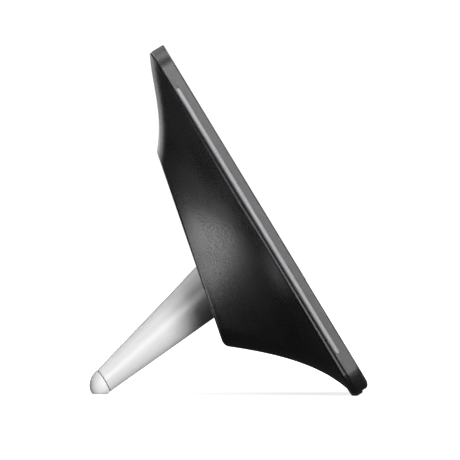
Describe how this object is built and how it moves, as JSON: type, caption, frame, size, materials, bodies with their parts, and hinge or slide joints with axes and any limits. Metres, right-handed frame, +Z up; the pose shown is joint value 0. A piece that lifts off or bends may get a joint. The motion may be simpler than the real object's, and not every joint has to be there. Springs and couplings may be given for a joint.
{
  "type": "digital photo frame",
  "caption": "Tabletop digital photo frame: slim rounded bezel, flared rear cover and a tapered cone leg that twists out of a bayonet socket.",
  "frame": {"origin": "on the table, under the middle of the bounding box, in the standing pose", "axes": "+Z up; the screen faces -Y and leans back 31.24 degrees; the leg reaches back towards +Y; +X is the side with the sockets"},
  "size_m": [0.215, 0.1208, 0.1513],
  "materials": {
    "bezel_paint": "satin, fine grain",
    "trim_grey": "satin",
    "window_clear": "polished",
    "mat_black": "gloss",
    "lcd_glass": "polished, screen off",
    "cover_plastic": "satin, fine texture",
    "leg_silver": "satin",
    "tip_rubber": "soft matt",
    "foot_rubber": "matt",
    "button_rubber": "satin",
    "socket_plastic": "satin",
    "board_green": "solder mask",
    "chip_black": "matt",
    "ferrite_grey": "matt",
    "ribbon_amber": "gloss",
    "backlight_white": "satin",
    "sheet_steel": "zinc plated",
    "screw_steel": "zinc plated",
    "socket_metal": "nickel plated",
    "spring_steel": "polished",
    "capacitor_can": "satin",
    "cell_steel": "polished"
  },
  "bodies": {
    "head": {"front_bezel": "bezel_paint", "trim_strip_left": "trim_grey", "trim_strip_right": "trim_grey", "front_window": "window_clear", "picture_mat": "mat_black", "lcd_panel": "lcd_glass", "backlight_unit": "backlight_white", "screen_bracket": "sheet_steel", "main_board": "board_green", "processor": "chip_black", "memory_chip_1": "chip_black", "memory_chip_2": "chip_black", "power_inductor": "ferrite_grey", "capacitor_1": "capacitor_can", "capacitor_2": "capacitor_can", "cell_holder": "socket_plastic", "coin_cell": "cell_steel", "display_connector": "socket_plastic", "display_cable": "ribbon_amber", "card_slot": "socket_metal", "usb_socket": "socket_metal", "power_jack": "socket_plastic", "rear_cover": "cover_plastic", "key_board": "board_green", "leg_socket": "socket_plastic", "detent_spring": "spring_steel", "foot_left": "foot_rubber", "foot_right": "foot_rubber", "board_screw_1": "screw_steel", "case_screw_1": "screw_steel", "board_screw_2": "screw_steel", "case_screw_2": "screw_steel", "board_screw_3": "screw_steel", "case_screw_3": "screw_steel", "board_screw_4": "screw_steel", "case_screw_4": "screw_steel", "socket_screw_1": "screw_steel", "socket_screw_2": "screw_steel", "socket_screw_3": "screw_steel", "switch_power": "socket_metal", "switch_menu": "socket_metal", "switch_ok": "socket_metal", "switch_up": "socket_metal", "switch_down": "socket_metal", "switch_previous": "socket_metal", "switch_next": "socket_metal"},
    "leg": {"leg_cone": "leg_silver", "leg_tip": "tip_rubber", "leg_spigot": "socket_plastic", "leg_screw": "screw_steel"},
    "power_key": {"button_power": "button_rubber"},
    "menu_key": {"button_menu": "button_rubber"},
    "ok_key": {"button_ok": "button_rubber"},
    "up_key": {"button_up": "button_rubber"},
    "down_key": {"button_down": "button_rubber"},
    "previous_key": {"button_previous": "button_rubber"},
    "next_key": {"button_next": "button_rubber"}
  },
  "joints": [
    {"name": "leg_turn", "type": "hinge", "parent": "head", "child": "leg", "pos_m": [0, 0.00968, 0.04423], "axis": [0, 0.9455, -0.3255], "range_deg": [0, 60]},
    {"name": "power_press", "type": "slide", "parent": "head", "child": "power_key", "axis": [0, -0.9455, 0.3255], "range_m": [0, 0.0004], "stiffness_N_per_m": 400, "springref_m": -0.0002},
    {"name": "menu_press", "type": "slide", "parent": "head", "child": "menu_key", "axis": [0, -0.9455, 0.3255], "range_m": [0, 0.0004], "stiffness_N_per_m": 400, "springref_m": -0.0002},
    {"name": "ok_press", "type": "slide", "parent": "head", "child": "ok_key", "axis": [0, -0.9455, 0.3255], "range_m": [0, 0.0004], "stiffness_N_per_m": 400, "springref_m": -0.0002},
    {"name": "up_press", "type": "slide", "parent": "head", "child": "up_key", "axis": [0, -0.9455, 0.3255], "range_m": [0, 0.0004], "stiffness_N_per_m": 400, "springref_m": -0.0002},
    {"name": "down_press", "type": "slide", "parent": "head", "child": "down_key", "axis": [0, -0.9455, 0.3255], "range_m": [0, 0.0004], "stiffness_N_per_m": 400, "springref_m": -0.0002},
    {"name": "previous_press", "type": "slide", "parent": "head", "child": "previous_key", "axis": [0, -0.9455, 0.3255], "range_m": [0, 0.0004], "stiffness_N_per_m": 400, "springref_m": -0.0002},
    {"name": "next_press", "type": "slide", "parent": "head", "child": "next_key", "axis": [0, -0.9455, 0.3255], "range_m": [0, 0.0004], "stiffness_N_per_m": 400, "springref_m": -0.0002}
  ]
}
